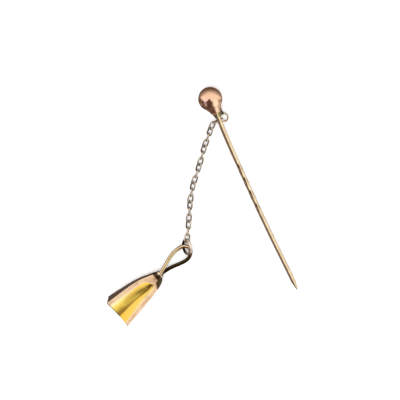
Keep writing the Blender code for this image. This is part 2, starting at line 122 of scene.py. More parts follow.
def worn_gold_group():
    """Polished gold that has been handled: mottled colour, dulled patches and hair scratches."""
    group = bpy.data.node_groups.new("worn_gold", "ShaderNodeTree")
    for label, kind in (("Gold", "NodeSocketColor"), ("Worn", "NodeSocketColor"),
                        ("Mottle", "NodeSocketFloat"), ("Polished", "NodeSocketFloat"),
                        ("Dulled", "NodeSocketFloat"), ("Scratch", "NodeSocketVector")):
        group.interface.new_socket(label, in_out="INPUT", socket_type=kind)
    for label, kind in (("Color", "NodeSocketColor"), ("Roughness", "NodeSocketFloat"),
                        ("Height", "NodeSocketFloat")):
        group.interface.new_socket(label, in_out="OUTPUT", socket_type=kind)
    nodes = group.nodes
    links = group.links
    given = nodes.new("NodeGroupInput")
    result = nodes.new("NodeGroupOutput")
    where = nodes.new("ShaderNodeTexCoord")
    in_mm = nodes.new("ShaderNodeVectorMath")
    in_mm.operation = "SCALE"
    in_mm.inputs["Scale"].default_value = 1 / MM
    links.new(where.outputs["Object"], in_mm.inputs[0])
    mottle = nodes.new("ShaderNodeTexNoise")
    mottle.inputs["Detail"].default_value = 4
    links.new(in_mm.outputs[0], mottle.inputs["Vector"])
    links.new(given.outputs["Mottle"], mottle.inputs["Scale"])
    patch = nodes.new("ShaderNodeMapRange")
    patch.inputs["From Min"].default_value = WORN_PATCHES[0]
    patch.inputs["From Max"].default_value = WORN_PATCHES[1]
    links.new(mottle.outputs["Fac"], patch.inputs["Value"])
    color = nodes.new("ShaderNodeMix")
    color.data_type = "RGBA"
    links.new(patch.outputs["Result"], color.inputs["Factor"])
    links.new(given.outputs["Gold"], color.inputs["A"])
    links.new(given.outputs["Worn"], color.inputs["B"])
    links.new(color.outputs["Result"], result.inputs["Color"])
    along = nodes.new("ShaderNodeVectorMath")
    along.operation = "MULTIPLY"
    links.new(in_mm.outputs[0], along.inputs[0])
    links.new(given.outputs["Scratch"], along.inputs[1])
    hair = nodes.new("ShaderNodeTexNoise")
    hair.inputs["Scale"].default_value = 1
    hair.inputs["Detail"].default_value = 2
    links.new(along.outputs[0], hair.inputs["Vector"])
    lines = nodes.new("ShaderNodeMapRange")
    lines.inputs["From Min"].default_value = HAIR_SCRATCHES[0]
    lines.inputs["From Max"].default_value = HAIR_SCRATCHES[1]
    links.new(hair.outputs["Fac"], lines.inputs["Value"])
    links.new(lines.outputs["Result"], result.inputs["Height"])
    both = nodes.new("ShaderNodeMath")
    both.operation = "MULTIPLY"
    links.new(patch.outputs["Result"], both.inputs[0])
    links.new(lines.outputs["Result"], both.inputs[1])
    dull = nodes.new("ShaderNodeMapRange")
    links.new(both.outputs[0], dull.inputs["Value"])
    links.new(given.outputs["Polished"], dull.inputs["To Min"])
    links.new(given.outputs["Dulled"], dull.inputs["To Max"])
    links.new(dull.outputs["Result"], result.inputs["Roughness"])
    return group


worn_gold = worn_gold_group()


def wear_node(material, gold, worn, mottle, polished, dulled, scratch):
    """The worn gold group in a material, with one gold's own colours and polish."""
    wear = material.node_tree.nodes.new("ShaderNodeGroup")
    wear.node_tree = worn_gold
    wear.inputs["Gold"].default_value = (*gold, 1)
    wear.inputs["Worn"].default_value = (*worn, 1)
    wear.inputs["Mottle"].default_value = mottle
    wear.inputs["Polished"].default_value = polished
    wear.inputs["Dulled"].default_value = dulled
    wear.inputs["Scratch"].default_value = scratch
    return wear


def gold_material(name, gold, worn, mottle, polished, dulled, scratch, relief):
    """One of the pin's golds: metal throughout, with fine scratches for relief."""
    material = bpy.data.materials.new(name)
    material.use_nodes = True
    nodes = material.node_tree.nodes
    links = material.node_tree.links
    shader = nodes["Principled BSDF"]
    shader.inputs["Metallic"].default_value = 1
    wear = wear_node(material, gold, worn, mottle, polished, dulled, scratch)
    wear.name = "wear"
    links.new(wear.outputs["Color"], shader.inputs["Base Color"])
    links.new(wear.outputs["Roughness"], shader.inputs["Roughness"])
    bump = nodes.new("ShaderNodeBump")
    bump.inputs["Strength"].default_value = relief
    bump.inputs["Distance"].default_value = SCRATCH_DEPTH
    links.new(wear.outputs["Height"], bump.inputs["Height"])
    links.new(bump.outputs["Normal"], shader.inputs["Normal"])
    return material


pin_low, pin_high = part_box("pin")
ball_centre = Vector((pin_low.x + BALL_RADIUS, pin_high.y - BALL_RADIUS, BALL_RADIUS))
pin_dip = math.asin((BALL_RADIUS - POINT_HALF_DIAGONAL) / (PIN_REACH - POINT_LENGTH))
pin_along = Vector((math.cos(PIN_HEADING) * math.cos(pin_dip),
                    math.sin(PIN_HEADING) * math.cos(pin_dip), -math.sin(pin_dip)))
pin_place = frame_of(ball_centre, pin_along, UP)

bpy.ops.object.select_all(action="DESELECT")
bpy.ops.mesh.primitive_uv_sphere_add(segments=96, ring_count=64, radius=BALL_RADIUS)
head = named("ball_head")
neck_root_reach = math.sqrt(BALL_RADIUS ** 2 - NECK_ROOT_RADIUS ** 2)
bpy.ops.object.mode_set(mode="EDIT")
bpy.ops.mesh.select_all(action="SELECT")
bpy.ops.mesh.bisect(plane_co=(0, 0, neck_root_reach), plane_no=(0, 0, 1), clear_outer=True)
radius = NECK_ROOT_RADIUS
rise = (NECK_RIM_REACH - neck_root_reach) / NECK_STEPS
for step in range(1, NECK_STEPS + 1):
    share = step / NECK_STEPS
    fall = share * (1 + NECK_FLARE * (1 - share))
    wanted = NECK_ROOT_RADIUS + (NECK_RIM_RADIUS - NECK_ROOT_RADIUS) * fall
    draw_out(rise, wanted / radius, neck_root_reach + rise * step)
    radius = wanted
beaded = NECK_RIM_RADIUS + RIM_BEAD
inside = NECK_RIM_RADIUS - RIM_WALL
for forth, wanted in ((RIM_BEAD, beaded), (RIM_WIDTH - 2 * RIM_BEAD, beaded),
                      (RIM_BEAD, NECK_RIM_RADIUS), (0, inside), (-RIM_RECESS, inside - RIM_BEAD)):
    draw_out(forth, wanted / radius, 0)
    radius = wanted
bpy.ops.mesh.edge_face_add()
bpy.ops.object.mode_set(mode="OBJECT")
rose_gold = gold_material("rose_gold", ROSE_GOLD, ROSE_WORN, mottle=0.45, polished=0.10, dulled=0.24,
                          scratch=(6, 6, 1.2), relief=0.3)
put(head, pin_place)
finish_piece(head, "pin", rose_gold, smooth_degrees=40)


# Shank: one length of square yellow gold wire with round corners, laid with one of them up. It swells
# into the neck, where its sides and underside carry painted shade and its upper corner is left bright,
# is twisted once round so that it grips the cloth, and is filed to a point.
SHANK_HALF_DIAGONAL = 0.96 * MM / math.sqrt(2)
SHOULDER_ROOT_HALF_DIAGONAL = 1.19 * MM
SHOULDER_HALF_DIAGONAL = 1.32 * MM
SHOULDER_REACH = 5.9 * MM
TWIST_START = 18.5 * MM
TWIST_LENGTH = 16.0 * MM
TWIST_TURNS = 1.0
TWIST_STEPS = 64
STRAIGHT_STEPS = 12
POINT_WIDTH = 0.24 * MM
POINT_STEPS = 6
CORNER_SHARE = 0.36
CORNER_SEGMENTS = 6
# Painted shade beneath the neck: where along the shank it fades out, and how far round from the upper
# corner it starts
NECK_SHADE_START = 5.3 * MM
NECK_SHADE_END = 6.2 * MM
NECK_SHADE_TURN = math.radians(25)
BOW = 0.51 * MM
# At shares of the pin's reach: how far the shank's middle line lies left of a straight one, as a
# share of its bow
SHANK_BOW = ((0.00, 0.00), (0.07, 0.00), (0.15, 0.55), (0.27, 0.87), (0.48, 1.00), (0.63, 0.92),
             (0.74, 0.72), (0.83, 0.42), (0.93, 0.10), (1.00, -0.06))
SHANK_GOLD = (0.88, 0.68, 0.44)
SHANK_WORN = (0.74, 0.53, 0.32)
# Painted shade beneath the neck, in olive brown
NECK_SHADE = (0.30, 0.24, 0.08)


def second_tone_group():
    """Another tone, such as tarnish or a rubbed edge, laid over a gold where an attribute says."""
    group = bpy.data.node_groups.new("second_tone", "ShaderNodeTree")
    for label, kind in (("Gold", "NodeSocketColor"), ("Tone", "NodeSocketColor"),
                        ("Where", "NodeSocketFloat"), ("Start", "NodeSocketFloat"),
                        ("Full", "NodeSocketFloat")):
        group.interface.new_socket(label, in_out="INPUT", socket_type=kind)
    group.interface.new_socket("Color", in_out="OUTPUT", socket_type="NodeSocketColor")
    nodes = group.nodes
    links = group.links
    given = nodes.new("NodeGroupInput")
    result = nodes.new("NodeGroupOutput")
    amount = nodes.new("ShaderNodeMapRange")
    amount.interpolation_type = "SMOOTHSTEP"
    links.new(given.outputs["Where"], amount.inputs["Value"])
    links.new(given.outputs["Start"], amount.inputs["From Min"])
    links.new(given.outputs["Full"], amount.inputs["From Max"])
    laid = nodes.new("ShaderNodeMix")
    laid.data_type = "RGBA"
    links.new(amount.outputs["Result"], laid.inputs["Factor"])
    links.new(given.outputs["Gold"], laid.inputs["A"])
    links.new(given.outputs["Tone"], laid.inputs["B"])
    links.new(laid.outputs["Result"], result.inputs["Color"])
    return group


second_tone = second_tone_group()


def tone_over(material, under, attribute, tone, start, full):
    """A colour with a second tone laid over it by one of the piece's attributes."""
    nodes = material.node_tree.nodes
    links = material.node_tree.links
    where = nodes.new("ShaderNodeAttribute")
    where.attribute_name = attribute
    over = nodes.new("ShaderNodeGroup")
    over.node_tree = second_tone
    over.inputs["Tone"].default_value = (*tone, 1)
    over.inputs["Start"].default_value = start
    over.inputs["Full"].default_value = full
    links.new(where.outputs["Fac"], over.inputs["Where"])
    links.new(under, over.inputs["Gold"])
    return over.outputs["Color"]


def lay_tone(material, attribute, tone, start, full):
    """Lays a second tone over all that a material's colour is made of so far."""
    base = material.node_tree.nodes["Principled BSDF"].inputs["Base Color"]
    color = tone_over(material, base.links[0].from_socket, attribute, tone, start, full)
    material.node_tree.links.new(color, base)


def soft_step(start, end, value):
    """0 before the start, 1 after the end, and a smooth rise between them."""
    share = max(0.0, min((value - start) / (end - start), 1))
    return share * share * (3 - 2 * share)


def mark(piece, attribute, amount_at):
    """Gives a piece an attribute, worked out at each point."""
    values = piece.data.attributes.new(attribute, "FLOAT", "POINT").data
    for vertex in piece.data.vertices:
        values[vertex.index].value = amount_at(vertex.co)


def smooth_line(points, steps):
    """Evenly numbered points on a smooth curve through the given ones."""
    ends = [2 * points[0] - points[1]] + points + [2 * points[-1] - points[-2]]
    spans = len(points) - 1
    line = []
    for step in range(steps + 1):
        k = min(step * spans // steps, spans - 1)
        u = step * spans / steps - k
        before, start, end, after = ends[k:k + 4]
        line.append(0.5 * (2 * start + (end - before) * u
                           + (2 * before - 5 * start + 4 * end - after) * u ** 2
                           + (3 * start - before - 3 * end + after) * u ** 3))
    return line


def read_line(line, where):
    """The point of a line at a place along its first axis."""
    for before, after in zip(line, line[1:]):
        if after[0] >= where:
            return before.lerp(after, (where - before[0]) / (after[0] - before[0]))
    return line[-1]


def square_half_diagonal(reach):
    """From the shoulder to the point the square gets a little smaller."""
    share = (reach - SHOULDER_REACH) / (PIN_REACH - POINT_LENGTH - SHOULDER_REACH)
    return SHANK_HALF_DIAGONAL + (POINT_HALF_DIAGONAL - SHANK_HALF_DIAGONAL) * share


bow_line = smooth_line([Vector((row[0] * PIN_REACH, row[1] * BOW)) for row in SHANK_BOW], steps=360)
shank_start = NECK_RIM_REACH - RIM_WIDTH
twist_end = TWIST_START + TWIST_LENGTH
point_start = PIN_REACH - POINT_LENGTH
stations = [(NECK_RIM_REACH + RIM_WIDTH, SHOULDER_HALF_DIAGONAL, 0)]
for step in range(STRAIGHT_STEPS):
    reach = SHOULDER_REACH + (TWIST_START - SHOULDER_REACH) * step / STRAIGHT_STEPS
    stations.append((reach, square_half_diagonal(reach), 0))
stations.append((TWIST_START, square_half_diagonal(TWIST_START), 0))
twist_step = 2 * math.pi * TWIST_TURNS / TWIST_STEPS
for step in range(1, TWIST_STEPS + 1):
    reach = TWIST_START + TWIST_LENGTH * step / TWIST_STEPS
    stations.append((reach, square_half_diagonal(reach), twist_step))
for step in range(1, STRAIGHT_STEPS + 1):
    reach = twist_end + (point_start - twist_end) * step / STRAIGHT_STEPS
    stations.append((reach, square_half_diagonal(reach), 0))
for step in range(1, POINT_STEPS + 1):
    share = step / POINT_STEPS
    half = POINT_HALF_DIAGONAL + (POINT_WIDTH / 2 - POINT_HALF_DIAGONAL) * share
    stations.append((point_start + POINT_LENGTH * share, half, 0))

reach = shank_start
half = SHOULDER_ROOT_HALF_DIAGONAL
left = read_line(bow_line, reach)[1]
sharp_half = half / (1 - CORNER_SHARE * (2 - math.sqrt(2)))
bpy.ops.object.select_all(action="DESELECT")
bpy.ops.mesh.primitive_circle_add(vertices=4, radius=sharp_half, fill_type="NGON",
                                  location=(0, left, reach))
shank = named("shank")
bpy.ops.object.transform_apply(location=True, rotation=True, scale=True)
bpy.ops.object.mode_set(mode="EDIT")
bpy.ops.mesh.select_all(action="SELECT")
bpy.ops.mesh.bevel(offset=CORNER_SHARE * sharp_half * math.sqrt(2), segments=CORNER_SEGMENTS,
                   affect="VERTICES")
bpy.ops.mesh.select_all(action="SELECT")
for next_reach, next_half, turn in stations:
    next_left = read_line(bow_line, next_reach)[1]
    bpy.ops.mesh.extrude_region_move(
        TRANSFORM_OT_translate={"value": (0, next_left - left, next_reach - reach)})
    factor = next_half / half
    bpy.ops.transform.resize(value=(factor, factor, 1),
                             center_override=(0, next_left, next_reach))
    if turn:
        bpy.ops.transform.rotate(value=-turn, orient_axis="Z",
                                 center_override=(0, next_left, next_reach))
    reach = next_reach
    half = next_half
    left = next_left
bpy.ops.object.mode_set(mode="OBJECT")


def solder_stain_at(place):
    """How much painted shade darkens the shank beneath the neck: on the shoulder, but not on its upper
    corner.
    """
    beside = abs(math.atan2(place.y, place.x)) > NECK_SHADE_TURN
    return (1 - soft_step(NECK_SHADE_START, NECK_SHADE_END, place.z)) * beside


# Painted shade: the shoulder's sides and underside beneath the neck are laid olive brown, its upper
# corner left bright
mark(shank, "neck_shaded", solder_stain_at)
shank_gold = gold_material("shank_gold", SHANK_GOLD, SHANK_WORN, mottle=0.8, polished=0.07, dulled=0.16,
                           scratch=(7, 7, 0.9), relief=0.4)
lay_tone(shank_gold, "neck_shaded", NECK_SHADE, start=0.05, full=0.55)
put(shank, pin_place)
finish_piece(shank, "pin", shank_gold, smooth_degrees=35)


# Side ring: round rose gold wire bent to a ring, lying level under the shank's edge. It is soldered
# to the neck by a short peg of dark solder, laid near black as painted shade beneath the neck, and the
# chain's end link hangs in it.
PIN_RING_RADIUS = 1.08 * MM
PIN_RING_WIRE = 0.5 * MM
PIN_RING_REACH = 6.6 * MM
PIN_RING_ASIDE = 0.98 * MM
PIN_RING_HEIGHT = 1.1 * MM
PEG_RADIUS = 0.28 * MM
PEG_ROOT_REACH = 3.8 * MM
PEG_ROOT_ASIDE = 1.15 * MM
PEG_ROOT_DROP = 0.6 * MM
FILLET = 0.16 * MM
# At shares of the peg's length: how far the solder flares out, as a share of its fillet
PEG_FLARE = ((0.12, 0.45), (0.25, 0.12), (0.40, 0), (0.62, 0), (0.78, 0.15), (0.92, 0.5), (1.0, 0.2))
PALE_ROSE = (0.98, 0.84, 0.68)
PALE_ROSE_WORN = (0.88, 0.70, 0.54)
# The solder's own dark brown, darkened to near black as painted shade beneath the neck
SOLDER_AND_SHADE = (0.12, 0.08, 0.05)
SOLDER_AND_SHADE_DARK = (0.03, 0.02, 0.012)

pin_aside = UP.cross(pin_along).normalized()
ring_centre = ball_centre + pin_along * PIN_RING_REACH + pin_aside * PIN_RING_ASIDE
ring_centre.z = PIN_RING_HEIGHT
bpy.ops.object.select_all(action="DESELECT")
bpy.ops.mesh.primitive_torus_add(major_radius=PIN_RING_RADIUS, minor_radius=PIN_RING_WIRE / 2,
                                 major_segments=72, minor_segments=24, location=ring_centre)
side_ring = named("side_ring")
bpy.ops.object.transform_apply(location=True, rotation=True, scale=True)
ring_gold = gold_material("ring_gold", PALE_ROSE, PALE_ROSE_WORN, mottle=1.2, polished=0.24,
                          dulled=0.38, scratch=(5, 5, 5), relief=0.4)
finish_piece(side_ring, "pin", ring_gold, smooth_degrees=60)

peg_root = ball_centre + pin_along * PEG_ROOT_REACH + pin_aside * PEG_ROOT_ASIDE - UP * PEG_ROOT_DROP
towards = Vector((peg_root.x - ring_centre.x, peg_root.y - ring_centre.y, 0)).normalized()
peg_seat = ring_centre + towards * PIN_RING_RADIUS
peg_length = (peg_seat - peg_root).length
bpy.ops.object.select_all(action="DESELECT")
bpy.ops.mesh.primitive_circle_add(vertices=32, radius=PEG_RADIUS + FILLET, fill_type="NGON")
peg = named("solder_peg")
bpy.ops.object.mode_set(mode="EDIT")
bpy.ops.mesh.select_all(action="SELECT")
radius = PEG_RADIUS + FILLET
reach = 0
for share, flare in PEG_FLARE:
    wanted = PEG_RADIUS + FILLET * flare
    draw_out(peg_length * share - reach, wanted / radius, 0)
    reach = peg_length * share
    radius = wanted
bpy.ops.object.mode_set(mode="OBJECT")
# Painted shade: the peg's solder is laid near black beneath the neck
solder = gold_material("solder", SOLDER_AND_SHADE, SOLDER_AND_SHADE_DARK, mottle=1.5, polished=0.30, dulled=0.50,
                       scratch=(5, 5, 5), relief=0.6)
put(peg, frame_of(peg_root, peg_seat - peg_root, UP))
finish_piece(peg, "pin", solder, smooth_degrees=60)


# Chain: a fine trace chain of pale gold. Each link is a length of round wire bent to an oval, soldered
# and turned a sixth of a turn from its neighbour, and carries dark brown painted shade on its inside. A
# longer end link hangs in the side ring.
LINK_LENGTH = 2.75 * MM
LINK_WIDTH = 1.8 * MM
LINK_WIRE = 0.42 * MM
LINK_PLAY = 0.08 * MM
END_LINK_WIDTH = 1.5 * MM
END_LINK_WIRE = 0.36 * MM
LINK_SEGMENTS = 48
LINK_COUNT = 19
LINK_ROLL_FIRST = math.radians(-30)
LINK_ROLL_STEP = math.radians(60)
END_LINK_ROLL = math.radians(83)
CHAIN_GOLD = (0.86, 0.72, 0.58)
CHAIN_WORN = (0.60, 0.46, 0.32)
# Painted shade on the inside of each link
CHAIN_INSIDE_SHADE = (0.055, 0.032, 0.018)


def oval_link(name, length, width, wire):
    """One link, long along Z and flat in XZ: a ring whose two halves are drawn apart."""
    end_radius = (width - wire) / 2
    bpy.ops.object.select_all(action="DESELECT")
    bpy.ops.mesh.primitive_torus_add(major_radius=end_radius, minor_radius=wire / 2,
                                     major_segments=LINK_SEGMENTS, minor_segments=16,
                                     rotation=(0, 0, math.pi / LINK_SEGMENTS))
    link = named(name)
    link.matrix_world = Matrix.Rotation(math.pi / 2, 4, "X") @ link.matrix_world
    bpy.ops.object.transform_apply(location=True, rotation=True, scale=True)
    straight = (length - width) / 2
    for end in (1, -1):
        for vertex in link.data.vertices:
            vertex.select = vertex.co.z * end > 0
        for edge in link.data.edges:
            edge.select = all(link.data.vertices[k].select for k in edge.vertices)
        for face in link.data.polygons:
            face.select = all(link.data.vertices[k].select for k in face.vertices)
        bpy.ops.object.mode_set(mode="EDIT")
        bpy.ops.transform.translate(value=(0, 0, end * straight))
        bpy.ops.object.mode_set(mode="OBJECT")

    def inside_at(place):
        """1 on the side of the wire that faces the link's middle and 0 on its outside."""
        past_straight = max(0.0, abs(place.z) - straight)
        return 0.5 + (end_radius - math.hypot(place.x, past_straight)) / wire

    mark(link, "inside", inside_at)
    return link


def width_of_link(tangent, roll):
    """The direction of a link's width, rolled about the chain from lying flat."""
    return Matrix.Rotation(roll, 3, tangent) @ tangent.cross(UP).normalized()


chain_gold = gold_material("chain_gold", CHAIN_GOLD, CHAIN_WORN, mottle=1.5, polished=0.10, dulled=0.24,
                           scratch=(6, 6, 6), relief=0.5)
# Painted shade: the side of each link's wire that faces its middle is laid near black
lay_tone(chain_gold, "inside", CHAIN_INSIDE_SHADE, start=0.45, full=0.75)
link_names = ["link_%02d" % (k + 1) for k in range(LINK_COUNT)]
centres = []
for node in link_names:
    low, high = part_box(node)
    centres.append((low + high) / 2)
first_link = oval_link("chain_link_01", LINK_LENGTH, LINK_WIDTH, LINK_WIRE)
chain_links = [first_link]
for k in range(1, LINK_COUNT):
    pick(first_link)
    bpy.ops.object.duplicate(linked=False)
    chain_links.append(named("chain_link_%02d" % (k + 1)))
for k, link in enumerate(chain_links):
    before = centres[max(k - 1, 0)]
    after = centres[min(k + 1, LINK_COUNT - 1)]
    tangent = (after - before).normalized()
    roll = LINK_ROLL_FIRST + k * LINK_ROLL_STEP
    put(link, frame_of(centres[k], tangent, width_of_link(tangent, roll)))
    finish_piece(link, link_names[k], chain_gold, smooth_degrees=60)

low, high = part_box("link_end")
end_link_centre = (low + high) / 2
first_tangent = (centres[1] - centres[0]).normalized()
link_gap = (LINK_WIRE + END_LINK_WIRE + LINK_PLAY) / 2
end_link_tip = centres[0] - first_tangent * ((LINK_LENGTH - LINK_WIRE) / 2 - link_gap)
end_link_axis = end_link_tip - end_link_centre
end_link_length = 2 * end_link_axis.length + END_LINK_WIRE
end_link = oval_link("chain_end_link", end_link_length, END_LINK_WIDTH, END_LINK_WIRE)
put(end_link, frame_of(end_link_centre, end_link_axis,
                       width_of_link(end_link_axis.normalized(), END_LINK_ROLL)))
finish_piece(end_link, "link_end", chain_gold, smooth_degrees=60)


# Jump ring: round rose gold wire cut and closed to a ring, its butt joint left showing as a fine
# nick. It leans on the table, its right side up, and carries the drop's bail and the last link. Its
# lower side is darkened with painted shade.
JUMP_RADIUS = 1.95 * MM
JUMP_WIRE = 0.70 * MM
JUMP_LEAN = math.radians(52)
JUMP_SEGMENTS = 96
NICK_SHARE = 0.9
JUMP_ROSE = (0.99, 0.82, 0.68)
JUMP_WORN = (0.90, 0.66, 0.50)
# Painted shade on the ring's low side
JUMP_SHADE = (0.10, 0.06, 0.04)

low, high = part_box("jump_ring")
jump_centre = (low + high) / 2
jump_rise = Vector((math.cos(JUMP_LEAN), 0, math.sin(JUMP_LEAN)))
bpy.ops.object.select_all(action="DESELECT")
bpy.ops.mesh.primitive_torus_add(major_radius=JUMP_RADIUS, minor_radius=JUMP_WIRE / 2,
                                 major_segments=JUMP_SEGMENTS, minor_segments=24)
jump_ring = named("jump_ring_wire")
joint = Vector((-JUMP_RADIUS, 0, 0))
for vertex in jump_ring.data.vertices:
    angle = math.atan2(vertex.co.y, vertex.co.x)
    if abs(abs(angle) - math.pi) < math.pi / JUMP_SEGMENTS:
        vertex.co = joint + (vertex.co - joint) * NICK_SHARE
# Painted shade: darker towards the ring's low left side, where it leans on the table
mark(jump_ring, "painted_shade", lambda place: -place.x / JUMP_RADIUS)
put(jump_ring, frame_of(jump_centre, jump_rise.cross(Vector((0, 1, 0))), jump_rise))
jump_gold = gold_material("jump_ring_gold", JUMP_ROSE, JUMP_WORN, mottle=1.0, polished=0.24,
                          dulled=0.38, scratch=(5, 5, 5), relief=0.4)
lay_tone(jump_gold, "painted_shade", JUMP_SHADE, start=-0.1, full=0.6)
finish_piece(jump_ring, "jump_ring", jump_gold, smooth_degrees=60)


# Drop body: thin gold sheet folded to four sides and left open at the wide mouth. Front and back are
# pressed in to a crease and show yellow gold there, with painted shade along the crease and a painted
# highlight on the slopes beside it. The rest of the outside is rose gold, with a painted highlight on
# its ridges and painted shade on the two flat sides, round the collar and along the mouth's edge.
DROP_HEADING = math.radians(42.4)
DROP_DIP = math.radians(6.452)
BODY_LENGTH = 15.32 * MM
MOUTH_HALF = 4.25 * MM
SHEET = 0.36 * MM
FLUTE_LENGTH = 12.3 * MM
FLUTE_DEPTH = 1.0 * MM
FLUTE_END_DEPTH = 0.34 * MM
FLUTE_ARCH = 2.2 * MM
FLUTE_END_SHARE = 0.64
FLUTE_FOLD = 0.4
FLUTE_FLAT_START = 3.0 * MM
FLUTE_FLAT_FULL = 10.8 * MM
FLUTE_FLAT_POWER = 3
BAND = 1.05 * MM
FRONT_CREASE_ASIDE = 0.78 * MM
FRONT_CREASE_SWAY = 0.6
SWAY_POWER = 4
CORNER_ROUNDING = 1.5
BODY_STEPS = 75
BAND_COLUMNS = 4
DISH_COLUMNS = 12
LEAST_OPENING = 0.08
EDGE_ROUNDING = 0.10 * MM
EDGE_SEGMENTS = 3
EDGE_ANGLE = math.radians(22)
BODY_LEAN = 0.25 * MM
# At shares of the body's length: its half width and half depth as shares of half the mouth, and its
# lean to the right as a share of the greatest
BODY_OUTLINE = ((0.00, 1.000, 1.000, 0.5), (0.25, 0.890, 0.775, 0.2), (0.50, 0.775, 0.540, 0.1),
                (0.72, 0.645, 0.390, 0.6), (0.86, 0.525, 0.310, 1.0), (0.95, 0.390, 0.270, 0.6),
                (1.00, 0.255, 0.255, 0.0))
# Painted shade, dark brown, round the collar, further down the right side than the left, over the flat
# sides, and along the mouth's edge, its left half more than its right
SIDE_SHADE = 0.52
MOUTH_SHADE = (0.9, 0.4)
MOUTH_SHADE_WIDTH = 0.35 * MM
COLLAR_SHADE_REACH = 13.8 * MM
COLLAR_SHADE_SKEW = 1.8 * MM
SKEW_POWER = 3
COLLAR_SHADE_FADE = 0.45 * MM
# Painted shade along the crease: at shares of the fold's length, how strong it is and where it starts
# left and right of the crease, from 0 at the band to 1 at the crease
CREASE_SHADE_ALONG = ((0.00, 1.00, 0.30, 0.90), (0.17, 1.00, 0.38, 0.90), (0.35, 0.80, 0.62, 0.88),
               (0.55, 0.75, 0.74, 0.85), (0.70, 0.90, 0.68, 0.70), (0.82, 1.00, 0.60, 0.55),
               (0.90, 0.75, 0.64, 0.55), (0.96, 0.00, 0.70, 0.60), (1.00, 0.00, 0.70, 0.60))
# A painted highlight in pale gold on the slopes beside it: how strong it is at shares of the fold's
# length, and how near the crease it begins to fade and is gone
PALE_LEFT_ALONG = ((0.00, 1.00), (0.20, 0.90), (0.47, 0.70), (0.65, 0.30), (0.80, 0.00), (1.00, 0.00))
PALE_RIGHT_ALONG = ((0.00, 0.05), (0.20, 0.15), (0.47, 0.45), (0.65, 0.70), (0.80, 0.80), (1.00, 0.60))
PALE_LEFT = (0.00, 0.50)
PALE_RIGHT = (0.25, 0.85)
# How far into the fold the outside's rose gold has given way to the yellow
GILDED_FULL = 0.10
YELLOW_GOLD = (0.98, 0.66, 0.13)
YELLOW_WORN = (0.93, 0.57, 0.08)
# Painted highlight on the fold's slopes
YELLOW_HIGHLIGHT = (1.0, 0.77, 0.36)
# Painted shade along the crease
CREASE_SHADE = (0.34, 0.19, 0.03)
BAND_ROSE = (0.84, 0.58, 0.37)
BAND_WORN = (0.70, 0.45, 0.28)
# Painted highlight on the ridges and the fold's edges
RIDGE_HIGHLIGHT_ROSE = (0.96, 0.80, 0.60)
# Painted shade round the collar, at the mouth's edge and over the flat sides
DROP_SHADE = (0.075, 0.045, 0.02)

body_outline = smooth_line([Vector((along, wide * MOUTH_HALF, deep * MOUTH_HALF, lean * BODY_LEAN))
                            for along, wide, deep, lean in BODY_OUTLINE], steps=240)


def folded_place(reach, face, column):
    """Where the sheet lies at a distance from the mouth and in a column of one face, how far it is
    into the fold, from 0 on the band beside it to 1 at the crease, and whether it is right of that."""
    half_width, half_depth, lean = read_line(body_outline, reach / BODY_LENGTH)[1:]
    fluted = face % 2 == 0
    out, half = (half_depth, half_width) if fluted else (half_width, half_depth)
    arch_start = FLUTE_LENGTH - FLUTE_ARCH
    grown = min(reach / arch_start, 1)
    mouth_share = 1 - BAND / MOUTH_HALF
    full = half * (mouth_share + (FLUTE_END_SHARE - mouth_share) * grown)
    past = max(0.0, min((reach - arch_start) / FLUTE_ARCH, 1))
    opening = math.sqrt(1 - past ** 2)
    depth = (FLUTE_DEPTH + (FLUTE_END_DEPTH - FLUTE_DEPTH) * grown) * opening ** 2 if fluted else 0.0
    sway = 1 + FRONT_CREASE_SWAY * grown ** SWAY_POWER
    crease = FRONT_CREASE_ASIDE * sway * full / (MOUTH_HALF - BAND) if face == 0 else 0.0
    spread = max(opening, LEAST_OPENING)
    stops = (-half, crease - (full + crease) * spread, crease, crease + (full - crease) * spread, half)
    for k, columns in enumerate((BAND_COLUMNS, DISH_COLUMNS, DISH_COLUMNS, BAND_COLUMNS)):
        if column <= columns:
            break
        column -= columns
    aside = stops[k] + (stops[k + 1] - stops[k]) * column / columns
    span = (full - crease if aside > crease else full + crease) * opening
    closeness = max(0.0, 1 - abs(aside - crease) / span) if span > 0 else 0.0
    scooped = FLUTE_FOLD * closeness + (1 - FLUTE_FOLD) * (1 - (1 - closeness) ** 2)
    flat = closeness ** FLUTE_FLAT_POWER
    scooped += (flat - scooped) * soft_step(FLUTE_FLAT_START, FLUTE_FLAT_FULL, reach)
    point = Vector((out - depth * scooped, aside, 0))
    roundness = max(0.0, (reach - arch_start) / (BODY_LENGTH - arch_start)) ** CORNER_ROUNDING
    oval = point / math.hypot(point.x / out, point.y / half)
    point = point.lerp(oval, roundness)
    point = Matrix.Rotation(face * math.pi / 2, 3, "Z") @ point
    return point + Vector((0, lean, reach)), closeness if fluted else 0.0, aside > crease


drop_heading = Vector((math.cos(DROP_HEADING), math.sin(DROP_HEADING), 0))
drop_along = drop_heading * math.cos(DROP_DIP) - UP * math.sin(DROP_DIP)
drop_turn = frame_of(Vector((0, 0, 0)), drop_along, UP)
drop_front = drop_turn.to_3x3() @ Vector((1, 0, 0))
drop_right = drop_turn.to_3x3() @ Vector((0, 1, 0))
drop_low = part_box("drop")[0]
mouth_lean = BODY_OUTLINE[0][3] * BODY_LEAN
drop_mouth = Vector((drop_low.x + MOUTH_HALF * (abs(drop_front.x) + abs(drop_right.x)),
                     drop_low.y + MOUTH_HALF * (abs(drop_front.y) + abs(drop_right.y)),
                     MOUTH_HALF * drop_front.z)) - drop_right * mouth_lean
drop_place = Matrix.Translation(drop_mouth) @ drop_turn

